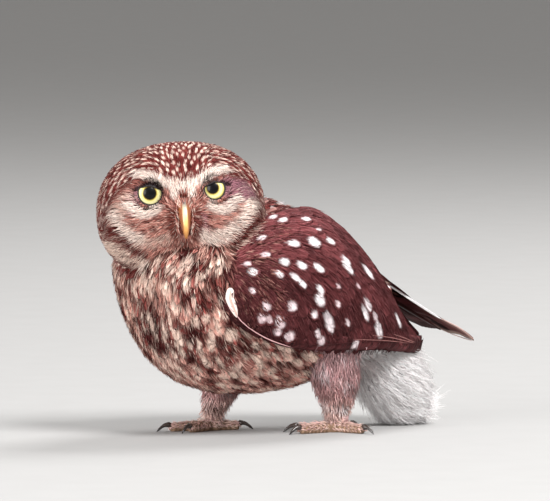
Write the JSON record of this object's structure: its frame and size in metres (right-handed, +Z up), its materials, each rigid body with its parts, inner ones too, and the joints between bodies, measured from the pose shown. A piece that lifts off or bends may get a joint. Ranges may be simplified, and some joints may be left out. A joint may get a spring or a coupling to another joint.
{
  "type": "little owl",
  "caption": "Life-size little owl standing crouched on both feet, its round head turned to its left; a still model of a bird.",
  "frame": {"origin": "on the ground, under the middle of the whole bird's box", "axes": "+Z up, -Y the way the body faces, +X the bird's own left side"},
  "size_m": [0.0932, 0.2042, 0.138],
  "materials": {
    "plumage": "soft brown feathers with pale spots",
    "wing_plumage": "smooth dark brown feathers with white spots",
    "pale_plumage": "loose whitish feathers",
    "leg_plumage": "short buff hair-like feathers",
    "eye": "wet yellow eye with a black pupil",
    "bill": "smooth yellowish horn",
    "claw": "smooth dark horn"
  },
  "bodies": {
    "root": {"eye_left": "eye", "eye_right": "eye", "bill_upper": "bill", "bill_lower": "bill", "head": "plumage", "neck": "plumage", "trunk": "plumage", "tail": "wing_plumage", "undertail": "pale_plumage", "wing_left": "wing_plumage", "wing_tip_left": "wing_plumage", "leg_left": "leg_plumage", "foot_left": "leg_plumage", "claw_left_hind": "claw", "claw_left_inner": "claw", "claw_left_middle": "claw", "claw_left_outer": "claw", "wing_right": "wing_plumage", "wing_tip_right": "wing_plumage", "leg_right": "leg_plumage", "foot_right": "leg_plumage", "claw_right_hind": "claw", "claw_right_inner": "claw", "claw_right_middle": "claw", "claw_right_outer": "claw"}
  },
  "joints": []
}
